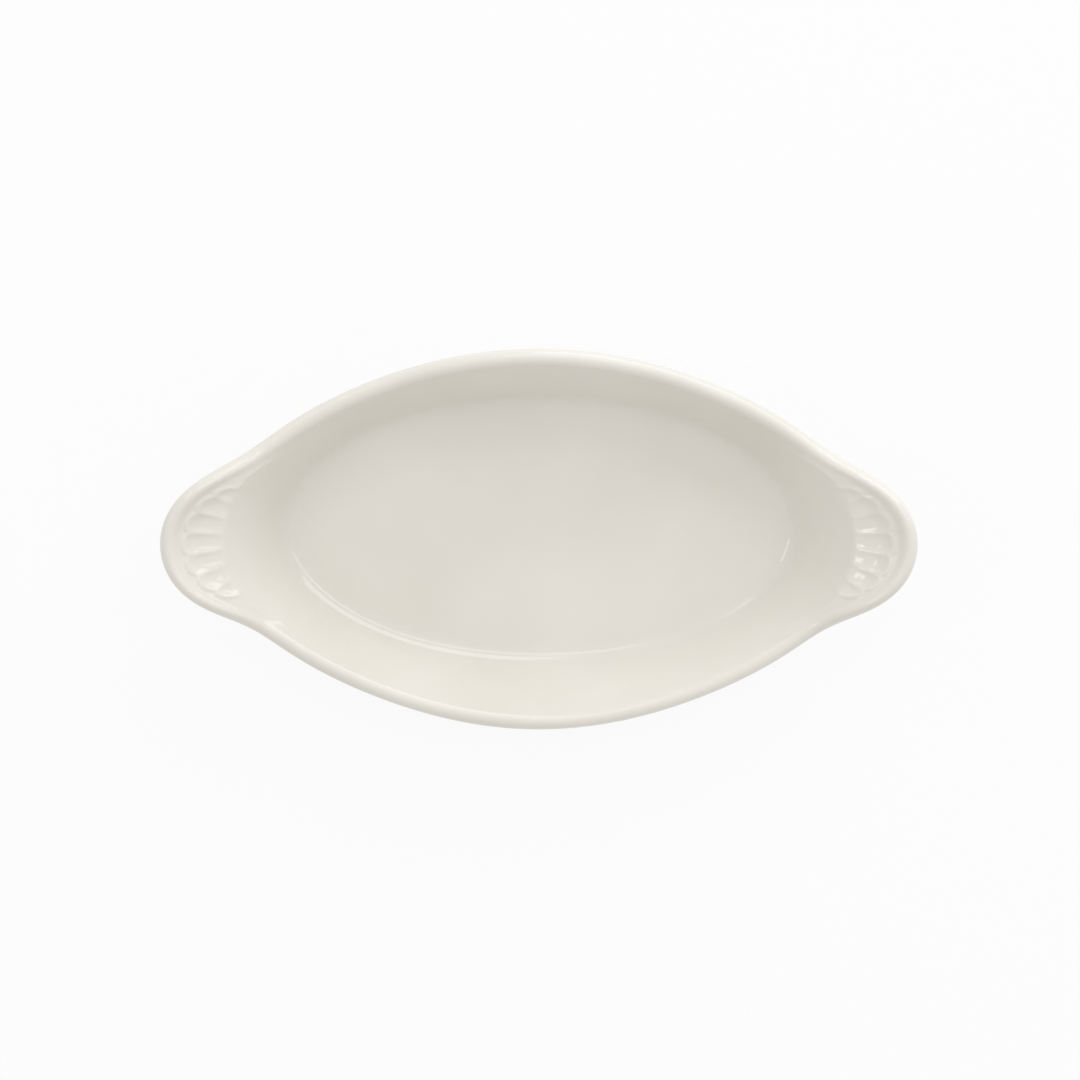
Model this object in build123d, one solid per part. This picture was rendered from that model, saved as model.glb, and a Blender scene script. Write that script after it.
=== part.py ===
from build123d import *
import math
import os

# Oval gratin dish in glazed ceramic, in millimetres. Up is +Z, and the two ears point along X.
# The origin is the middle of the foot, at the height of the table. The shape hangs on one
# oval, the mouth of the well: the rim reaches out from it, and the wall slants in below it.

# Driving dimensions
dish_length = 206.4  # tip to tip over the two ears
dish_width = 105.8  # across the middle, over the rim
rim_height = 27.5  # table to the top of the rim, halfway along a side
ear_lift = 7.5  # an ear tip's rim above the rim's sides
shoulder_dip = 2.4  # how far the rim sags between a side and an ear
mouth_height = 27.5  # table to the edge where the well turns into an ear
end_slant = 16.5  # how far the well's wall slants in from the mouth to the floor, at an ear
side_slant = 9.0  # the same halfway along a side
well_round = 5.6  # how far the corner's rounding runs up the wall and over the floor
floor_thickness = 5.3
wall_thickness = 5.0

# How far the rim stands out from the mouth: at an ear's tip, in the waist beside the ear,
# and halfway along a side
ear_reach = 16.4
waist_reach = 3.4
side_reach = 7.8

# Rim, a round bead that thins towards the ear tips
bead_height = 4.6
side_bead_width = 4.7
tip_bead_width = 3.7
bead_foot_turn = 170  # at an ear: degrees round the bead, from its outer side to its inner foot
mouth_round = 1.9  # how far the soft edge between the well's wall and an ear runs both ways

# Underside and foot, the dry ring that the dish stands on in the kiln and on the table
base_round = 3.2
foot_height = 1.5
foot_width = 3.2
foot_setback = 2.0  # inside the edge of the flat underside
foot_chamfer = 0.5

# Shell fluting, sunk into the top of each ear. The troughs fan out from a point in the well,
# and their round outer ends lie on a circle, so that the shell has a scalloped edge.
flute_count = 7
flute_pitch = 12  # degrees between neighbours, with the middle one along the ear
shell_setback = 22.5  # from the ear's tip to the centre of the circle of outer ends
shell_radius = 12.4
fan_reach = 14.7  # from the fan's centre out to the shell's centre
fan_inner_radius = 21.5  # from the fan's centre to the shallow inner ends
shortest_flute = 1.2
flute_radius = 4.8  # roundness of a trough at its outer end
flute_depth = 1.1
throat_radius = 3.8  # the same two sizes at its shallow inner end
throat_depth = 0.6

# How the ears fade round the mouth: degrees from an ear's axis, and how sudden the change is
flank_spread, flank_sharpness = 25.2, 2
ear_spread, ear_sharpness = 27.8, 4
lift_spread, lift_sharpness = 25.0, 4
shelf_spread, shelf_sharpness = 30.0, 4
side_sharpness = 5.9
sag_sharpness = 12
slant_sharpness = 3.4
mouth_up_share = 0.75  # at the sides, where the ears' edge runs out into the straight wall

mouth_half_length = dish_length / 2 - ear_reach
mouth_half_width = dish_width / 2 - side_reach
shell_centre = dish_length / 2 - shell_setback
fan_centre = shell_centre - fan_reach
floor_height = foot_height + floor_thickness

# Fineness of the skin: strips round each bend, and points of a curve in each quarter
bead_count = 10
fillet_count = 4
heel_count = 3
edge_count = 2
straight_count = 2  # over each straight stretch, which twists on its way round the dish
quarter_count = 11
crowding_power = 1.3  # above 1, the points crowd towards the ears
bead_start = -75  # degrees round the bead, below its outer side


def fade(angle, spread, sharpness):
    """One on an ear's axis, falling to nothing past the spread."""
    return math.exp(-((angle / spread) ** sharpness))


def from_ear(angle):
    """Degrees round the mouth from the nearer ear's axis, nought to ninety."""
    turned = abs(angle) % 180
    return min(turned, 180 - turned)


def rim_reach(angle):
    """How far the rim's outer edge stands out from the mouth."""
    turned = from_ear(angle)
    side = (side_reach - waist_reach) * math.sin(math.radians(turned)) ** side_sharpness
    ear_share = fade(turned, flank_spread, flank_sharpness)
    ear_share *= fade(turned, ear_spread, ear_sharpness)
    return waist_reach + side + (ear_reach - waist_reach) * ear_share


def rim_top(angle):
    """Height of the rim: level at the sides, sagging a little, then up to the ear."""
    turned = from_ear(angle)
    sag = shoulder_dip * (1 - math.sin(math.radians(turned)) ** sag_sharpness)
    climb = (ear_lift + shoulder_dip) * fade(turned, lift_spread, lift_sharpness)
    return rim_height - sag + climb


def mouth_frame(angle):
    """The mouth's edge at an angle round it, and the level way out from there.

    The ways out fan less than the square of the edge does, so the ways in never meet.
    """
    ahead, aside = math.cos(math.radians(angle)), math.sin(math.radians(angle))
    edge = Vector(mouth_half_length * ahead, mouth_half_width * aside)
    out = Vector(math.sqrt(mouth_half_width) * ahead, math.sqrt(mouth_half_length) * aside)
    return edge, out.normalized()


def wall_slant(angle):
    """How far in from the mouth the wall meets the floor."""
    end_share = math.cos(math.radians(from_ear(angle))) ** slant_sharpness
    return side_slant + (end_slant - side_slant) * end_share


def between(start, end, share):
    """The place at a share of the way between two places of a section."""
    return tuple(low + (high - low) * share for low, high in zip(start, end))


def bend(before, corner, after, length, strips):
    """Points round a corner of the section, starting and ending a length away from it."""
    start = between(corner, before, length / math.dist(corner, before))
    end = between(corner, after, length / math.dist(corner, after))
    points = []
    for number in range(strips + 1):
        share = number / strips
        near, far = between(start, corner, share), between(corner, end, share)
        points.append(between(near, far, share))
    return points


def straight_to(places, run):
    """Points that cut the straight stretch from the places so far to the next run."""
    if not places:
        return []
    shares = [number / straight_count for number in range(1, straight_count)]
    return [between(places[-1], run[0], share) for share in shares]


class Bead:
    """The rim's oval section at an angle round the mouth."""

    def __init__(self, angle, ear_share):
        width = side_bead_width + (tip_bead_width - side_bead_width) * ear_share
        self.half_width = width / 2
        self.half_height = bead_height / 2
        self.reach = rim_reach(angle) - self.half_width
        self.height = rim_top(angle) - self.half_height

    def at(self, turn):
        """The point at an angle round the bead, from its outer side over its top."""
        out, up = math.cos(math.radians(turn)), math.sin(math.radians(turn))
        return self.reach + self.half_width * out, self.height + self.half_height * up

    def touch(self, place):
        """Angle round the bead where a line from a place inside it lands smoothly."""
        out = (place[0] - self.reach) / self.half_width
        up = (place[1] - self.height) / self.half_height
        lean = math.acos(1 / math.hypot(out, up))
        return math.degrees(math.atan2(up, out) % math.tau - lean)


def slope(low, high):
    """Steepness of a line of the section, as an angle."""
    return math.atan2(high[1] - low[1], high[0] - low[0])


def section(angle):
    """Places (reach, height) up the outside at one angle, over the bead and down the well."""
    ear_share = fade(from_ear(angle), shelf_spread, shelf_sharpness)
    bead = Bead(angle, ear_share)
    corner = (-wall_slant(angle), floor_height)
    on_wall = between(corner, bead.at(bead.touch(corner)), mouth_up_share)
    mouth = between(on_wall, (0, mouth_height), ear_share)
    bead_end = bead.touch(mouth)
    bead_end += (bead_foot_turn - bead_end) * ear_share

    wall = slope(corner, mouth)
    lean = (wall + slope(mouth, bead.at(bead_end))) / 2
    back = (mouth[0] + wall_thickness * math.sin(lean), mouth[1] - wall_thickness * math.cos(lean))
    heel_out = wall_thickness / math.sin(wall) - floor_thickness / math.tan(wall)
    heel = (corner[0] + heel_out, foot_height)

    turns = [
        bead_start + (bead_end - bead_start) * number / bead_count
        for number in range(bead_count + 1)
    ]
    over = [bead.at(turn) for turn in turns]
    under = (heel[0] - wall_thickness, heel[1])
    floor = (corner[0] - wall_thickness, corner[1])
    runs = [
        bend(under, heel, back, base_round, heel_count),
        bend(heel, back, over[0], mouth_round, edge_count),
        over,
        bend(over[-1], mouth, corner, mouth_round, edge_count),
        bend(mouth, corner, floor, well_round, fillet_count),
    ]
    places = []
    for run in runs:
        places += straight_to(places, run) + run
    return places


def angles_round():
    """Angles of the points of every curve round the dish, closest together at the ears."""
    quarter = [
        90 * (number / quarter_count) ** crowding_power for number in range(quarter_count + 1)
    ]
    half = quarter + [180 - angle for angle in quarter[-2::-1]]
    return half + [360 - angle for angle in half[-2:0:-1]]


def curve_round(places):
    """Closed curve through one place (reach, height) for each of the angles round."""
    points = []
    for angle, (reach, height) in zip(angles_round(), places):
        edge, out = mouth_frame(angle)
        points.append(edge + out * reach + Vector(0, 0, height))
    turns = [angle / 360 for angle in angles_round()] + [1]
    return Wire([Edge.make_spline(points, parameters=turns, periodic=True)])


def make_plain_dish():
    """One skin in level strips, from the underside over the bead to the floor of the well."""
    sections = [section(angle) for angle in angles_round()]
    return Solid.make_loft([curve_round(places) for places in zip(*sections)], ruled=True)


def seat(dish, x, y):
    """Point on the dish's upper side over x and y, and the way that the skin faces there."""
    hits = dish.find_intersection_points(Axis((x, y, 0), (0, 0, 1)))
    point, normal = max(hits, key=lambda hit: hit[0].Z)
    return point, normal if normal.Z > 0 else -normal


def make_cutter(start, start_radius, end, end_radius):
    """Round-ended taper: two balls and the cone that touches both, turned about their line."""
    span = end - start
    lean = math.asin((end_radius - start_radius) / span.length)
    bottom = (0, -start_radius)
    low = (start_radius * math.cos(lean), -start_radius * math.sin(lean))
    high = (end_radius * math.cos(lean), span.length - end_radius * math.sin(lean))
    top = (0, span.length + end_radius)
    profile = [
        RadiusArc(bottom, low, -start_radius),
        Line(low, high),
        RadiusArc(high, top, -end_radius),
        Line(top, bottom),
    ]
    return Plane(origin=start, z_dir=span) * revolve(Plane.XZ * make_face(profile), Axis.Z)


def make_flute(dish, angle):
    """Cutter for one trough of the ear at +X, seated on the ear's own sloping top."""
    ahead, aside = math.cos(math.radians(angle)), math.sin(math.radians(angle))
    outer = fan_reach * ahead + math.sqrt(shell_radius**2 - (fan_reach * aside) ** 2)
    inner = min(fan_inner_radius, outer - shortest_flute)
    start, start_normal = seat(dish, fan_centre + inner * ahead, inner * aside)
    end, end_normal = seat(dish, fan_centre + outer * ahead, outer * aside)
    return make_cutter(
        start + start_normal * (throat_radius - throat_depth),
        throat_radius,
        end + end_normal * (flute_radius - flute_depth),
        flute_radius,
    )


def make_dish():
    """The glazed dish with the shell fluting sunk into both ears."""
    dish = make_plain_dish()
    side_flutes = flute_count // 2
    flutes = [make_flute(dish, flute_pitch * number) for number in range(side_flutes + 1)]
    flutes += [mirror(flute, about=Plane.XZ) for flute in flutes[1:]]
    flutes += [mirror(flute, about=Plane.YZ) for flute in flutes]
    return dish - flutes


def make_foot():
    """The ring under the dish, with its lower edges cut back."""
    setbacks = [
        foot_setback,
        foot_setback,
        foot_setback + foot_chamfer,
        foot_setback + foot_width - foot_chamfer,
        foot_setback + foot_width,
        foot_setback + foot_width,
    ]
    heights = [foot_height, foot_chamfer, 0, 0, foot_chamfer, foot_height]
    underside = [section(angle)[0][0] for angle in angles_round()]
    curves = []
    for setback, height in zip(setbacks, heights):
        curves.append(curve_round([(reach - setback, height) for reach in underside]))
    outer = Solid.make_loft(curves[:3], ruled=True)
    hollow = Solid.make_loft(curves[3:], ruled=True)
    return outer - hollow


dish_body = make_dish()
foot_ring = make_foot()

os.makedirs("parts", exist_ok=True)
for name, node in (("dish_body", dish_body), ("foot_ring", foot_ring)):
    solid = node.solids()[0]
    export_step(solid, f"parts/{name}.step")
    print(name, "valid", solid.is_valid, "volume", round(solid.volume), solid.bounding_box())
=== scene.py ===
# %% [markdown]
# # A glazed oval gratin dish
# The dish is one piece of white-bodied clay with a warm white gloss glaze all over, apart from
# the ring that it stands on, which is wiped bare before the kiln. It has an oval well, a round
# rim, and two raised ears with a fluted shell pressed into each.
#
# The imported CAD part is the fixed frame. It has every form of the dish, but its skin is made of
# flat strips. A gloss glaze shows each of them, so here the same skin is woven again, much
# finer, as one closed mesh.

import math

import bpy
import numpy as np
from mathutils import Euler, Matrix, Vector


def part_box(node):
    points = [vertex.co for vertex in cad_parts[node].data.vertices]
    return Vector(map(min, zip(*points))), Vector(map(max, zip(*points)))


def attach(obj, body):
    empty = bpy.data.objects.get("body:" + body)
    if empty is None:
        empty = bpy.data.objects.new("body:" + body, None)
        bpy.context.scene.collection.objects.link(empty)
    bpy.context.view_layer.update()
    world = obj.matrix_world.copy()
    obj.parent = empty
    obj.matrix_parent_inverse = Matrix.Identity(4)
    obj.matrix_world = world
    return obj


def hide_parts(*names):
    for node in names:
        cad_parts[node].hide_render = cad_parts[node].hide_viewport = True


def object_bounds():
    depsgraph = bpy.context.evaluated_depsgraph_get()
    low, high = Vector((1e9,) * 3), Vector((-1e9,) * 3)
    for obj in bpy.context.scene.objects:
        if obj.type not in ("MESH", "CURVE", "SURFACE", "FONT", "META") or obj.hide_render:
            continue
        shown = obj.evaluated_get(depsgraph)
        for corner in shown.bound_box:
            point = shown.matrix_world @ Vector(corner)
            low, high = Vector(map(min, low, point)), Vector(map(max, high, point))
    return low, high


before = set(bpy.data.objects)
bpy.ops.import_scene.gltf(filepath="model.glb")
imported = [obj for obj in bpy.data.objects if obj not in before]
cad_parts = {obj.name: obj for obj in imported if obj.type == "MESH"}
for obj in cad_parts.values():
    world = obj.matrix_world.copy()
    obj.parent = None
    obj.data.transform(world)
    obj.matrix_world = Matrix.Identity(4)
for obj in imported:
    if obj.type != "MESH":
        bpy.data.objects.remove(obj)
cad_low, cad_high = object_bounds()
print("CAD box", [round(value, 5) for value in (*cad_low, *cad_high)])

# %% [markdown]
# ## Overall sizes
# A potter would plan this dish by its length over the ears, its width and its height. Those come
# from the frame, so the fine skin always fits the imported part. Everything else hangs on one
# oval, the mouth of the well. It lies inside the overall sizes by the reach of the ears and of
# the long sides. Blender works in metres, and the sizes are written in millimetres times mm.

# %% The overall sizes and the mouth of the well
mm = 0.001
dish_length = cad_high.x - cad_low.x
dish_width = 2 * min(cad_high.y, -cad_low.y)
dish_height = cad_high.z
ear_reach = 16.4 * mm
side_reach = 7.8 * mm

mouth_half_length = dish_length / 2 - ear_reach
mouth_half_width = dish_width / 2 - side_reach
print("half the mouth, in mm:", round(mouth_half_length / mm, 1), round(mouth_half_width / mm, 1))

# %% [markdown]
# ## Columns round the dish
# The skin is a grid. A column of it starts at an angle round the mouth and runs straight out
# and in from there, seen from above. The same grid could be drawn by hand as a low cage under a
# subdivision modifier, but a formula keeps the gloss even, however finely the skin is cut. The
# columns stand closest together over the ears, where the shells are.

# %% Angles of the columns
fine_step, fine_until = 0.3, 33.0
coarse_count = 46

fine = np.arange(0, fine_until, fine_step)
coarse = np.linspace(fine_until, 90, coarse_count)
quarter = np.concatenate([fine, coarse])
half = np.concatenate([quarter, 180 - quarter[-2::-1]])
angles = np.concatenate([half, 360 - half[-2:0:-1]])
from_ear = np.minimum(angles % 180, 180 - angles % 180)
ahead, aside = np.cos(np.radians(angles)), np.sin(np.radians(angles))
print("columns round the dish:", len(angles))

# %% Where each column starts, and its way out
edge = np.stack([mouth_half_length * ahead, mouth_half_width * aside], axis=1)
way_out = np.stack(
    [math.sqrt(mouth_half_width) * ahead, math.sqrt(mouth_half_length) * aside], axis=1
)
way_out /= np.linalg.norm(way_out, axis=1, keepdims=True)
print("the first column starts at", edge[0].round(4), "and runs out along", way_out[0].round(2))

# %% [markdown]
# ## The outline of the rim
# From above, the rim stands out along the sides, draws in to a waist and runs out into the ears.
# From the side, it is highest at mid-length, sags at the shoulders and lifts over the ears. A
# hand-drawn curve would need many points to do that without a kink. A bell-shaped fade over the
# angle needs two numbers for each change: how far it spreads, and how sudden it is.

# %% Reach of the rim, seen from above
waist_reach = 3.4 * mm
flank_spread, flank_sharpness = 25.2, 2
ear_spread, ear_sharpness = 27.8, 4
side_sharpness = 5.9


def fade(spread, sharpness):
    """One on an ear's axis, falling to nothing past the spread in degrees, for every column."""
    return np.exp(-((from_ear / spread) ** sharpness))


rim_reach = waist_reach + (side_reach - waist_reach) * np.abs(aside) ** side_sharpness
rim_reach += (
    (ear_reach - waist_reach)
    * fade(flank_spread, flank_sharpness)
    * fade(ear_spread, ear_sharpness)
)
print("rim reach in mm, least and most:", (rim_reach.min() / mm).round(1), ear_reach / mm)

# %% Height of the rim, seen from the side
ear_lift = 7.5 * mm
shoulder_dip = 2.4 * mm
lift_spread, lift_sharpness = 25, 4
sag_sharpness = 12

rim_height = dish_height - ear_lift
rim_top = rim_height - shoulder_dip * (1 - np.abs(aside) ** sag_sharpness)
rim_top += (ear_lift + shoulder_dip) * fade(lift_spread, lift_sharpness)
print("rim top in mm, least and most:", (rim_top.min() / mm).round(1), round(dish_height / mm, 1))

# %% [markdown]
# ## Places in a section
# Cut square through the wall, the clay runs up the outside, over the rim and down into the well.
# In every column a place in that section is a pair: how far it reaches out from the mouth, and
# how high it is. The helpers here work on all the columns at once, which keeps the script quick
# and lets one line stand for a whole ring round the dish.

# %% Helpers for places in a section


def place(reach, height):
    """Places of the section, one for each column."""
    reach = np.broadcast_to(reach, angles.shape)
    return np.stack([reach, np.broadcast_to(height, angles.shape)], axis=1)


def between(start, end, share):
    """The places at a share of the way from one to another."""
    share = np.reshape(share, (-1, 1))
    return start + (end - start) * share


def run_along(start, end, count):
    """Places along a straight stretch, without its two ends."""
    shares = np.linspace(0, 1, count + 2)[1:-1]
    return start[:, None] + (end - start)[:, None] * shares[None, :, None]


print("places in one row:", place(0, 0).shape)

# %% Helper for steepness


def slope(low, high):
    """Steepness of the lines from one set of places to another, as angles."""
    rise = high - low
    return np.arctan2(rise[:, 1], rise[:, 0])


print("a line straight up is this steep, in degrees:",
      np.degrees(slope(place(0, 0), place(0, mm))[0]))

# %% [markdown]
# ## Soft corners
# A fired glaze has no sharp corner. A round corner could be an arc, but an arc starts to bend at
# once, and a gloss shows that start as a line. So each corner is a curve between two straight
# stretches that leaves and joins them with no bend at all.

# %% Helper for soft corners


def curve(start, start_pull, end_pull, end, count):
    """Places along a curve from a start to an end, drawn towards two pull points."""
    share = np.linspace(0, 1, count)[None, :, None]
    return (
        start[:, None] * (1 - share) ** 3
        + start_pull[:, None] * 3 * (1 - share) ** 2 * share
        + end_pull[:, None] * 3 * (1 - share) * share**2
        + end[:, None] * share**3
    )


def bend(before, corner, after, length, count):
    """Places round a corner, from a length before it to a length after it."""
    back, on = before - corner, after - corner
    back_length = np.linalg.norm(back, axis=1, keepdims=True)
    on_length = np.linalg.norm(on, axis=1, keepdims=True)
    start = corner + back / back_length * np.minimum(length, back_length / 2)
    end = corner + on / on_length * np.minimum(length, on_length / 2)
    return curve(start, corner, corner, end, count)


tried = bend(place(0, 2 * mm), place(0, 0), place(2 * mm, 0), mm, count=3)
print("middle of a 1 mm soft corner, in mm from the corner:", (tried[0, 1] / mm).round(3))

# %% [markdown]
# ## The rim bead
# The rim ends in a round bead, which doesn't chip as a thin edge would. Its section is nearly a
# circle, a little slimmer at the ears' tips. It could be a round profile swept along a curve,
# but a swept tube only cuts into the wall. Here its places are found by an angle round it, and
# a helper finds the angle at which a line from inside the rim just touches it, so the wall runs
# into the bead without a kink.

# %% The bead and where lines touch it
bead_height = 4.6 * mm
side_bead_width = 4.7 * mm
tip_bead_width = 4.2 * mm
shelf_spread, shelf_sharpness = 31, 4

ear_share = fade(shelf_spread, shelf_sharpness)
bead_half_width = (side_bead_width + (tip_bead_width - side_bead_width) * ear_share) / 2
bead_half_height = bead_height / 2
bead_centre = place(rim_reach - bead_half_width, rim_top - bead_half_height)
bead_size = place(bead_half_width, bead_half_height)


def on_bead(turn):
    """Places at an angle round the bead, from its outer side over its top."""
    turn = np.radians(turn)
    return bead_centre + bead_size * np.stack([np.cos(turn), np.sin(turn)], axis=-1)


def touch_bead(places):
    """Angles round the bead where lines from inside the rim land smoothly."""
    out, up = ((places - bead_centre) / bead_size).T
    lean = np.arccos(1 / np.hypot(out, up))
    return np.degrees(np.arctan2(up, out) % (2 * math.pi) - lean)


print("bead width in mm at the sides and the tips:", side_bead_width / mm, tip_bead_width / mm)

# %% [markdown]
# ## The wall of the well
# Inside, the wall leans out from the floor, more at the ends than at the sides, so that a spoon
# reaches every corner. Over an ear it stops at a soft edge, where the ear's sloping shelf
# begins. Along the sides there is no shelf, and that edge simply lies on the straight line from
# the floor to the bead. The ears could be pieces of their own, joined by a boolean, but that
# leaves a seam. Here a share that is one at the ears and nought at the sides leads from one
# case to the other.

# %% The inside: floor corner, mouth edge and the bead's foot
floor_thickness = 5.3 * mm
end_slant = 16.5 * mm
side_slant = 9.0 * mm
slant_sharpness = 3.4
mouth_height = 27.5 * mm
mouth_up_share = 0.75
bead_foot_turn = 170

foot_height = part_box("foot_ring")[1].z
floor_height = foot_height + floor_thickness
wall_slant = side_slant + (end_slant - side_slant) * np.abs(ahead) ** slant_sharpness
corner = place(-wall_slant, floor_height)
on_wall = between(corner, on_bead(touch_bead(corner)), mouth_up_share)
mouth = between(on_wall, place(0, mouth_height), ear_share)
bead_end = touch_bead(mouth)
bead_end += (bead_foot_turn - bead_end) * ear_share
bead_foot = on_bead(bead_end)
print("depth of the well in mm, at the ears:", round((mouth_height - floor_height) / mm, 1))

# %% [markdown]
# ## The outside of the wall
# The clay is nearly as thick in the wall as in the floor, which keeps it from cracking in the
# kiln. So the outside follows the inside at the wall's thickness, and meets the flat underside
# at the heel. A solidify modifier would do this too, but it would thicken the bead as well.

# %% The outside: back of the wall and heel
wall_thickness = 5.0 * mm
flat_run = 10.0 * mm

wall_slope = slope(corner, mouth)
lean = (wall_slope + slope(mouth, bead_foot)) / 2
back = mouth + wall_thickness * np.stack([np.sin(lean), -np.cos(lean)], axis=1)
heel_out = wall_thickness / np.sin(wall_slope) - floor_thickness / np.tan(wall_slope)
heel = place(heel_out - wall_slant, foot_height)
under = heel - place(flat_run, 0)
wall_lean = 90 - np.degrees(wall_slope)
print("wall leans out by", wall_lean.min().round(1), "to", wall_lean.max().round(1), "degrees")

# %% [markdown]
# ## The foot of the bead
# Along the sides the bead runs smoothly into the wall. Over an ear it stands up from the flat
# shelf like a cord laid on it, so its skin turns further round. The glaze fills the narrow
# crease at its foot. A short curve does the same here: it leaves the bead before the crease and
# lands on the shelf.

# %% Over the bead and down onto the ear
bead_start = -75
bead_rows = 31
bead_foot_ease = 45
bead_foot_run = 1.6 * mm
pull_share = 0.4
bead_foot_rows = 12

bead_last = bead_end - bead_foot_ease * ear_share
turns = np.linspace(0, 1, bead_rows)[None, :] * (bead_last - bead_start)[:, None] + bead_start
over = bead_centre[:, None] + bead_size[:, None] * np.stack(
    [np.cos(np.radians(turns)), np.sin(np.radians(turns))], axis=-1
)
round_bead = bead_size * np.stack(
    [-np.sin(np.radians(bead_last)), np.cos(np.radians(bead_last))], axis=-1
)
round_bead /= np.linalg.norm(round_bead, axis=1, keepdims=True)
across_ear = (mouth - bead_foot) / np.linalg.norm(mouth - bead_foot, axis=1, keepdims=True)

leave = over[:, -1]
arrive = bead_foot + across_ear * bead_foot_run
pull = pull_share * np.linalg.norm(arrive - leave, axis=1, keepdims=True)
into_ear = curve(
    leave, leave + round_bead * pull, arrive - across_ear * pull, arrive, bead_foot_rows
)
print("bead turns through", round(float(bead_end.max() - bead_start)), "degrees at most")

# %% [markdown]
# ## Rows of the section
# The runs are joined in the order that a finger would follow: from under the dish up the
# outside, over the bead, across an ear and down to the floor of the well. The number beside
# each run says how many rows fill the straight stretch before it. The stretch across an ear
# gets the most, since the shell is cut into it next. The bead's first rows are left out, so
# that the stretch below lands on its round side.

# %% Helper that joins runs


def rows_of(runs):
    """Runs of places joined into one, with the straight stretches between them filled."""
    joined = [runs[0][0]]
    for (before, _), (after, count) in zip(runs, runs[1:]):
        joined.append(run_along(before[:, -1], after[:, 0], count))
        joined.append(after)
    return np.concatenate(joined, axis=1)


# %% Join the rows
base_round = 3.6 * mm
mouth_round = 1.9 * mm
well_round = 8.0 * mm
first_bead_row = 3

neck = on_bead(bead_start)
floor_edge = corner - place(2 * well_round, 0)
outer = rows_of(
    [
        (bend(under, heel, back, base_round, count=9), 0),
        (bend(heel, back, neck, mouth_round, count=8), 6),
        (over[:, first_bead_row:], 4),
    ]
)
inner = rows_of(
    [
        (into_ear, 0),
        (bend(arrive, mouth, corner, mouth_round, count=12), 34),
        (bend(mouth, corner, floor_edge, well_round, count=22), 10),
    ]
)
section = np.concatenate([outer, inner[:, 1:]], axis=1)
inner_start = outer.shape[1]
print("rows from the underside to the floor:", section.shape[1])

# %% [markdown]
# ## Into space
# So far each place is a pair. Set round the dish, it becomes a point: the mouth's oval gives
# where its column starts, its reach carries it along the way out, and its height stays. Spin
# and screw tools turn a section round one axis, but this dish is an oval, so each column needs
# a way out of its own.

# %% Set the section round the dish


def in_plan(places):
    """Places of the section (reach, height) set round the dish as points in space."""
    ground = edge[:, None] + way_out[:, None] * places[..., :1]
    return np.concatenate([ground, places[..., 1:]], axis=2)


points = in_plan(section)
print("skin from", points.min(axis=(0, 1)).round(4), "to", points.max(axis=(0, 1)).round(4))

# %% [markdown]
# ## The outline of the shell
# A fluted shell is pressed into each ear, as a decoration and as a grip for a cloth. Its seven
# troughs fan out from a point in the well, with a fainter dent at each side, and they end on a
# circle round a second point. Each round end stands out past that circle, which gives the shell
# its scalloped edge.

# %% The fan and the shell's edge
trough_count = 7
trough_pitch = 12
fan_reach = 14.7 * mm
shell_setback = 22.5 * mm
shell_radius = 14.0 * mm

shell_centre = dish_length / 2 - shell_setback
fan_centre = shell_centre - fan_reach
shortest_reach = shell_radius / 4


def smooth(share):
    """A share from nought to one, eased at both ends."""
    share = np.clip(share, 0, 1)
    return share * share * (3 - 2 * share)


def shell_edge(angle):
    """Distance from the fan's centre out to the circle on which the shell ends."""
    across = fan_reach * np.sin(np.radians(angle))
    reach = np.sqrt(np.maximum(shell_radius**2 - across**2, shortest_reach**2))
    return fan_reach * np.cos(np.radians(angle)) + reach


shell_tip = fan_centre + shell_edge(0)
print("shell ends inside the ear's tip by", ((dish_length / 2 - shell_tip) / mm).round(1), "mm")

# %% [markdown]
# ## The depth of the troughs
# A trough starts shallow at the edge of the well, deepens outwards and ends in a round scoop.
# The clay that the press pushes aside stands up round the shell as a low crest. The glaze
# softens every ridge, so each depth is an average over a small width. Sculpting could give this
# relief, and so could a bump in the material. A formula keeps every trough alike, and as real
# dents in the mesh they catch the light and stay in an exported model.

# %% Sizes of the troughs and the crest
scallop = 1.3 * mm
scoop_length = 3.0 * mm
throat_start, throat_end = 19.5 * mm, 22.0 * mm
throat_depth = 0.35 * mm
trough_depth = 0.7 * mm
trough_fullness = 3
deepening = 1.3
outer_dent, outer_dent_share = 4, 0.45
crest_height, crest_width = 0.4 * mm, 0.8 * mm
crest_pitches = 4.2
ridge_softness, ridge_tries = 0.45 * mm, 7
edge_share = 0.035
print("troughs are", trough_depth / mm, "mm deep, and the crest is", crest_height / mm, "mm high")

# %% The relief of the shell


def shell_relief(x, y):
    """How far the fluted shell lies below the plain ear, above each place seen from on top."""
    out = np.abs(x) - fan_centre
    radius = np.maximum(np.hypot(out, y), mm)
    total = np.zeros_like(radius)
    for offset in np.linspace(-1, 1, ridge_tries):
        angle = np.degrees(np.arctan2(y, out) + offset * ridge_softness / radius)
        number = np.clip(np.round(angle / trough_pitch), -outer_dent, outer_dent)
        across = 2 * (angle / trough_pitch - number)
        hollow = np.clip(1 - np.abs(across) ** trough_fullness, 0, 1)
        share = np.where(np.abs(number) > trough_count // 2, outer_dent_share, 1)
        end = shell_edge(angle) + scallop * hollow
        scoop = 1 - (1 - np.clip((end - radius) / scoop_length, 0, 1)) ** 2
        length = np.clip((radius - throat_end) / (end - throat_end), 0, 1)
        depth = throat_depth + (trough_depth - throat_depth) * smooth(length * deepening)
        throat = smooth((radius - throat_start) / (throat_end - throat_start))
        total += share * hollow * scoop * throat * depth
        crest = np.exp(-(((radius - end - crest_width) / crest_width) ** 2))
        total -= crest_height * crest * smooth(crest_pitches - np.abs(angle) / trough_pitch)
    past_mouth = np.hypot(x / mouth_half_length, y / mouth_half_width) - 1
    return total / ridge_tries * smooth(1 + past_mouth / edge_share)


near_tip = np.array([shell_tip - scoop_length])
print("middle trough near its end, in mm:", (shell_relief(near_tip, 0 * near_tip) / mm).round(2))

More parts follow.
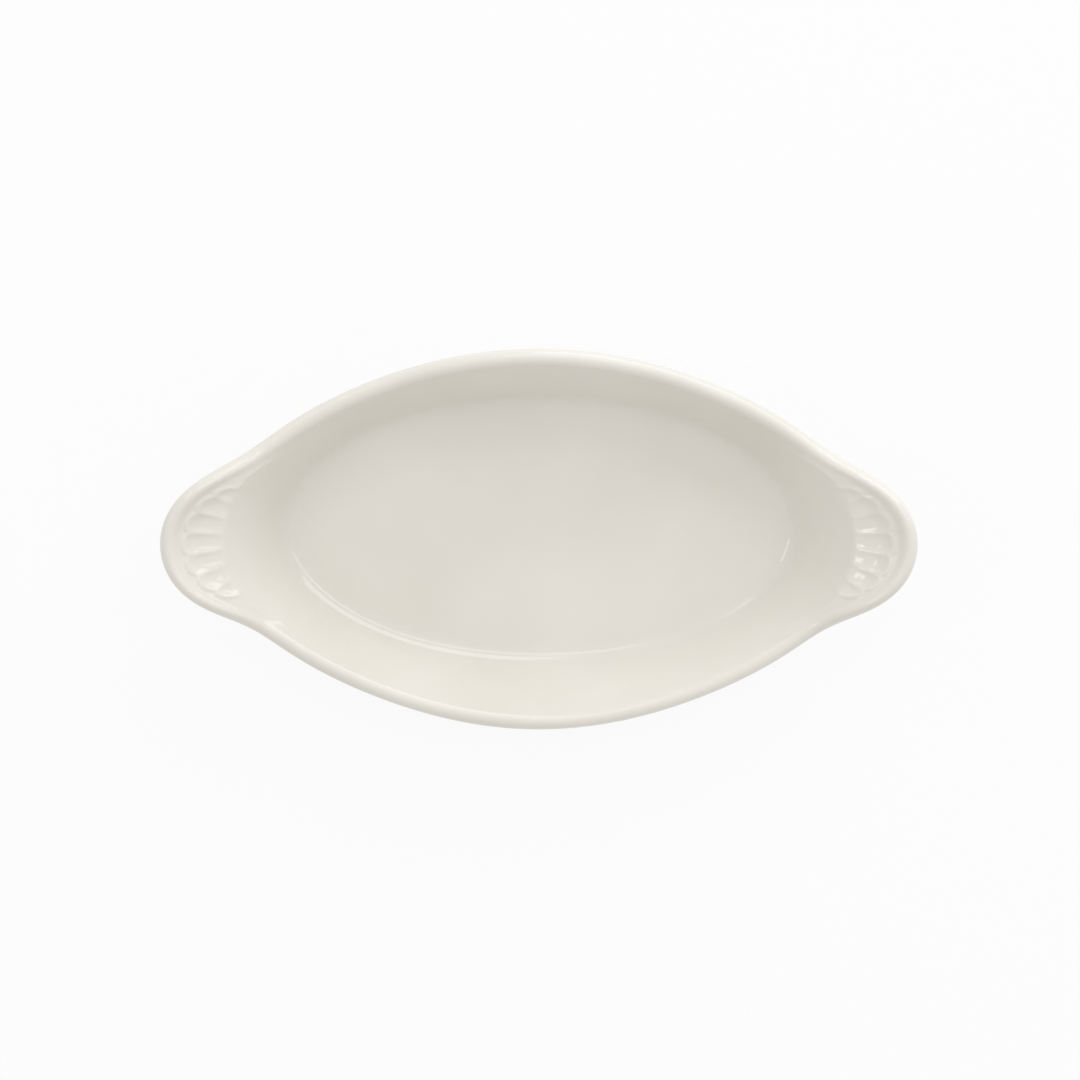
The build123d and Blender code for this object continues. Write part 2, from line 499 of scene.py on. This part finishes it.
# %% Press the shells into the ears
least_ear_share = 0.02

on_an_ear = ear_share[:, None] > least_ear_share
inner_rows = slice(inner_start, None)
relief = shell_relief(points[:, inner_rows, 0], points[:, inner_rows, 1]) * on_an_ear
points[:, inner_rows, 2] -= relief
deepest, highest = (relief.max() / mm).round(2), (-relief.min() / mm).round(2)
print("deepest trough and highest crest, in mm:", deepest, highest)

# %% [markdown]
# ## Weaving the skin
# Each row and column crossing becomes a vertex, and four neighbours make a face. The grid closes
# on itself round the dish. The dish's skin ends in the middle of the floor and of the underside,
# where a fan of triangles closes it. The foot's skin closes on itself both ways. Made like this,
# a mesh has no stray faces, and its lines follow the form, which is what smooth shading wants.

# %% Helper that weaves a grid


def weave(name, grid, closed_loop):
    """A mesh object from a grid of points, columns by rows, closed round its columns."""
    columns, rows = grid.shape[:2]
    vertices = grid.transpose(1, 0, 2).reshape(-1, 3)
    numbers = np.arange(rows * columns).reshape(rows, columns)
    if closed_loop:
        numbers = np.vstack([numbers, numbers[:1]])
    low, high = numbers[:-1], numbers[1:]
    quads = np.stack(
        [low, np.roll(low, -1, axis=1), np.roll(high, -1, axis=1), high], axis=-1
    )
    faces = quads.reshape(-1, 4).tolist()
    if not closed_loop:
        middle = [[0, 0, grid[0, 0, 2]], [0, 0, grid[0, -1, 2]]]
        vertices = np.vstack([vertices, middle])
        first, last = numbers[0], numbers[-1]
        bottom, top = rows * columns, rows * columns + 1
        faces += [[b, a, bottom] for a, b in zip(first, np.roll(first, -1))]
        faces += [[a, b, top] for a, b in zip(last, np.roll(last, -1))]
    mesh = bpy.data.meshes.new(name)
    mesh.from_pydata(vertices.tolist(), [], faces)
    mesh.shade_smooth()
    made = bpy.data.objects.new(name, mesh)
    bpy.context.scene.collection.objects.link(made)
    print(name, "has", len(mesh.vertices), "points and", len(mesh.polygons), "faces")
    return made


# %% [markdown]
# ## The dish
# The floor and the underside are flat, so rings that shrink towards the middle fill them. The
# whole skin then stands for the CAD body, which stays in the part for its weight and for what
# it bumps into.

# %% Make the dish
underside_rings = 4
floor_rings = 8


def shrink_to_middle(ring, count):
    """Rings from the last one in towards the middle, and the height is kept."""
    shares = np.linspace(1, 0, count + 2)[1:-1]
    return ring[:, None] * np.stack([shares, shares, np.ones(count)], axis=1)[None]


grid = np.concatenate(
    [
        shrink_to_middle(points[:, 0], underside_rings)[:, ::-1],
        points,
        shrink_to_middle(points[:, -1], floor_rings),
    ],
    axis=1,
)
dish = weave("glazed_dish", grid, closed_loop=False)
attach(dish, "root")
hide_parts("dish_body")

# %% [markdown]
# ## The dry foot
# The dish stands on a low ring of bare clay. A glazed foot would stick to the kiln's shelf, so
# potters wipe it clean and rub its edges round. A scaled torus would be thinner at the sides
# than at the ends. So its section, a small block with soft lower corners, is carried round under
# the dish on the same ways out as the wall, and is equally wide all the way.

# %% Make the foot
heel_run = 3.2 * mm
foot_setback = 2.0 * mm
foot_width = 3.2 * mm
foot_round = 0.7 * mm

foot_out = heel - place(heel_run, 0) - place(foot_setback, 0)
foot_in = foot_out - place(foot_width, 0)
ground_out = foot_out * [1, 0]
ground_in = foot_in * [1, 0]
foot_rows = rows_of(
    [
        (foot_in[:, None], 0),
        (bend(foot_in, ground_in, ground_out, foot_round, count=7), 1),
        (bend(ground_in, ground_out, foot_out, foot_round, count=7), 4),
        (foot_out[:, None], 1),
    ]
)
foot = weave("dry_foot", in_plan(foot_rows), closed_loop=True)
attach(foot, "root")
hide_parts("foot_ring")

# %% [markdown]
# ## Materials from noise
# A picture could be wrapped round the dish, but it would show a seam and blur close up. The
# finishes here are made of noise, in several sizes, which drives the colour, the roughness and
# the bump. All of it reads the object's own coordinates, so it stays on the dish when the dish
# turns. The helpers add one node each, and then a finish takes only a few lines.

# %% Colours and an empty material


def srgb(red, green, blue):
    """A colour as seen on a screen, nought to 255, turned into light."""
    shares = [channel / 255 for channel in (red, green, blue)]
    return (*[s / 12.92 if s < 0.04045 else ((s + 0.055) / 1.055) ** 2.4 for s in shares], 1)


def new_material(name):
    """An empty node material: the material, its nodes and its links."""
    material = bpy.data.materials.new(name)
    material.use_nodes = True
    nodes, links = material.node_tree.nodes, material.node_tree.links
    nodes.clear()
    return material, nodes, links


def add_shader(nodes, links):
    """The surface shader, joined to the material's output."""
    shader = nodes.new("ShaderNodeBsdfPrincipled")
    output = nodes.new("ShaderNodeOutputMaterial")
    links.new(shader.outputs["BSDF"], output.inputs["Surface"])
    return shader


print("mid grey on a screen is this much light:", round(srgb(128, 128, 128)[0], 3))

# %% Noise and its range
noise_low, noise_high = 0.3, 0.7


def add_noise(nodes, links, scale, detail):
    """Noise on the object's own coordinates."""
    place_node = nodes.get("Place") or nodes.new("ShaderNodeTexCoord")
    place_node.name = "Place"
    noise = nodes.new("ShaderNodeTexNoise")
    noise.inputs["Scale"].default_value = scale
    noise.inputs["Detail"].default_value = detail
    links.new(place_node.outputs["Object"], noise.inputs["Vector"])
    return noise.outputs["Fac"]


def add_range(nodes, links, value, low, high):
    """The value, spread from the noise's usual range to a low and a high."""
    spread = nodes.new("ShaderNodeMapRange")
    spread.inputs["From Min"].default_value = noise_low
    spread.inputs["From Max"].default_value = noise_high
    spread.inputs["To Min"].default_value = low
    spread.inputs["To Max"].default_value = high
    links.new(value, spread.inputs["Value"])
    return spread.outputs["Result"]


print("noise is spread from", noise_low, "to", noise_high)

# %% Tint and bump, driven by a value


def add_mix(nodes, links, value, low, high):
    """A colour between two, by a value."""
    mix = nodes.new("ShaderNodeMix")
    mix.data_type = "RGBA"
    mix.inputs["A"].default_value = low
    mix.inputs["B"].default_value = high
    links.new(value, mix.inputs["Factor"])
    return mix.outputs["Result"]


def add_bump(nodes, links, height, distance, below=None):
    """A bump of a real height, on top of another bump if there is one."""
    bump = nodes.new("ShaderNodeBump")
    bump.inputs["Distance"].default_value = distance
    links.new(height, bump.inputs["Height"])
    if below is not None:
        links.new(below, bump.inputs["Normal"])
    return bump.outputs["Normal"]


print("helpers ready:", add_mix.__name__, "and", add_bump.__name__)

# %% [markdown]
# ## The glaze
# The glaze is a skin of glass over pale clay. Its white is never quite even, because it lies
# thicker in some places than in others, and it never lies quite flat: it has a slow waviness
# and a faint orange peel. One noise clouds the tint, one varies the gloss, and two more, a slow
# one and a fine one, bend the reflections. Without them the dish would look like plastic.

# %% Glaze
thin_glaze, thick_glaze = srgb(226, 221, 211), srgb(232, 228, 219)
glassy, satin = 0.05, 0.09
wave_height, peel_height = 0.05 * mm, 0.006 * mm
glass_ior = 1.5

glaze, nodes, links = new_material("warm_white_glaze")
shader = add_shader(nodes, links)
cloud = add_range(nodes, links, add_noise(nodes, links, scale=22, detail=3), 0, 1)
links.new(add_mix(nodes, links, cloud, thin_glaze, thick_glaze), shader.inputs["Base Color"])
gloss = add_range(nodes, links, add_noise(nodes, links, scale=90, detail=4), glassy, satin)
links.new(gloss, shader.inputs["Roughness"])
wave = add_bump(nodes, links, add_noise(nodes, links, scale=60, detail=1), wave_height)
peel = add_bump(nodes, links, add_noise(nodes, links, scale=700, detail=2), peel_height, wave)
links.new(peel, shader.inputs["Normal"])
shader.inputs["IOR"].default_value = glass_ior
dish.data.materials.append(glaze)
print("glaze nodes:", len(nodes))

# %% [markdown]
# ## The bare clay
# Unglazed, the same clay is matt and chalky, a little darker than the glaze, with a fine grain
# and soft patches where it was handled. One fine noise makes both the grain's height and its
# roughness, so that each grain stands out matt. A slow noise makes the patches.

# %% Clay
handled_clay, clean_clay = srgb(214, 205, 188), srgb(226, 219, 204)
smooth_clay, rough_clay = 0.75, 0.95
grain_height = 0.05 * mm

clay, nodes, links = new_material("bare_clay")
shader = add_shader(nodes, links)
grain = add_noise(nodes, links, scale=900, detail=5)
patch = add_range(nodes, links, add_noise(nodes, links, scale=60, detail=3), 0, 1)
links.new(add_mix(nodes, links, patch, handled_clay, clean_clay), shader.inputs["Base Color"])
links.new(add_range(nodes, links, grain, smooth_clay, rough_clay), shader.inputs["Roughness"])
links.new(add_bump(nodes, links, grain, grain_height), shader.inputs["Normal"])
foot.data.materials.append(clay)
print("clay nodes:", len(nodes))

# %% [markdown]
# ## The ground
# The photograph has a plain white ground. Light strong enough to turn a matt sheet that white
# would bleach the dish. So to the camera, and in reflections, the ground is mostly a plain white
# of strength one. It isn't so to the rays that carry light from one matt surface to another, and
# so it doesn't light the dish. The rest of what shows is a pale, matt sheet, and that share
# keeps the dish's soft shadow.

# %% The sheet on the ground
floor_size = 3.0

side = floor_size / 2
floor_mesh = bpy.data.meshes.new("floor")
corners = [(-side, -side, 0), (side, -side, 0), (side, side, 0), (-side, side, 0)]
floor_mesh.from_pydata(corners, [], [(0, 1, 2, 3)])
floor = bpy.data.objects.new("floor", floor_mesh)
bpy.context.scene.collection.objects.link(floor)
print("the sheet is", floor_size, "m square and lies at height 0")

# %% Its white
paper_white = srgb(240, 240, 240)
plain_white_share = 0.88

paper, nodes, links = new_material("white_paper")
path = nodes.new("ShaderNodeLightPath")
seen = path.outputs["Is Camera Ray"]
for ray in ("Is Glossy Ray", "Is Transmission Ray"):
    either = nodes.new("ShaderNodeMath")
    either.operation = "MAXIMUM"
    links.new(seen, either.inputs[0])
    links.new(path.outputs[ray], either.inputs[1])
    seen = either.outputs[0]
seen_share = nodes.new("ShaderNodeMath")
seen_share.operation = "MULTIPLY"
seen_share.inputs[1].default_value = plain_white_share
links.new(seen, seen_share.inputs[0])

matt = nodes.new("ShaderNodeBsdfDiffuse")
matt.inputs["Color"].default_value = paper_white
white = nodes.new("ShaderNodeEmission")
white.inputs["Strength"].default_value = 1
sheet = nodes.new("ShaderNodeMixShader")
links.new(seen_share.outputs[0], sheet.inputs["Fac"])
links.new(matt.outputs[0], sheet.inputs[1])
links.new(white.outputs[0], sheet.inputs[2])
output = nodes.new("ShaderNodeOutputMaterial")
links.new(sheet.outputs[0], output.inputs["Surface"])
floor.data.materials.append(paper)
print("paper nodes:", len(nodes))

# %% [markdown]
# ## Even light
# Most of the light comes from all round, as it would from a white tent in a studio. It is kept
# at a level where a colour renders about as it is written, so that the dish looks right under
# other light too.

# %% World
world_strength = 0.735

world = bpy.data.worlds.new("even_light")
world.use_nodes = True
bpy.context.scene.world = world
world.node_tree.nodes["Background"].inputs["Color"].default_value = (1, 1, 1, 1)
world.node_tree.nodes["Background"].inputs["Strength"].default_value = world_strength
print("world strength:", world_strength)

# %% [markdown]
# ## Four softboxes
# The well is brightest on its lower left wall and darkest at the upper right, so the main light
# stands low at the upper right, like a window, and is a little cool. A narrow strip stands
# higher on the same side. The two together draw the thin bright line along the turn of the
# floor. Two small boxes, at the left and the far left, give the short line at the right end of
# the well and the glints on the right shell. A gloss mirrors the shape of a light, so these are
# flat area lights and not points.

# %% Softboxes
softbox_distance = 1.3


def softbox(name, azimuth, elevation, width, height, power, colour=(1, 1, 1)):
    """A flat light that faces the dish from an azimuth, counted from +X towards +Y."""
    light = bpy.data.lights.new(name, "AREA")
    light.shape = "RECTANGLE"
    light.size, light.size_y = width, height
    light.energy = power
    light.color = colour
    lamp = bpy.data.objects.new(name, light)
    bpy.context.scene.collection.objects.link(lamp)
    turn, up = math.radians(azimuth), math.radians(elevation)
    away = Vector((math.cos(turn) * math.cos(up), math.sin(turn) * math.cos(up), math.sin(up)))
    lamp.location = away * softbox_distance
    lamp.rotation_euler = away.to_track_quat("Z", "Y").to_euler()
    print(name, "of", power, "W stands at", [round(value, 2) for value in lamp.location])


softbox("window", 62, 22, width=1.3, height=0.8, power=6.6, colour=(0.9, 0.94, 1))
softbox("strip_softbox", 58, 60, width=1.3, height=0.25, power=1.9)
softbox("left_softbox", 172, 50, width=0.35, height=0.15, power=0.6)
softbox("far_softbox", 128, 34, width=0.25, height=0.2, power=0.35)

# %% [markdown]
# ## Camera
# The photograph looks almost straight down, from a little beyond the dish's far side. A long
# lens from over a metre away keeps both ears the same size, as they are there. The lens is
# worked out from the width that has to show at that distance.

# %% Camera
view_tilt = math.radians(9.4)
view_distance = 1.2
view_width = 295.9 * mm
target = Vector((0.3 * mm, 0.14 * mm, 25.5 * mm))
clip_near, clip_far = 0.01, 10

lens = bpy.data.cameras.new("camera")
lens.lens = lens.sensor_width * view_distance / view_width
lens.clip_start, lens.clip_end = clip_near, clip_far
camera = bpy.data.objects.new("camera", lens)
bpy.context.scene.collection.objects.link(camera)
camera.rotation_euler = Euler((-view_tilt, 0, 0))
to_camera = Vector((0, math.sin(view_tilt), math.cos(view_tilt)))
camera.location = target + view_distance * to_camera
bpy.context.scene.camera = camera
bpy.context.scene.view_settings.view_transform = "Standard"
print("lens", round(lens.lens, 1), "mm")
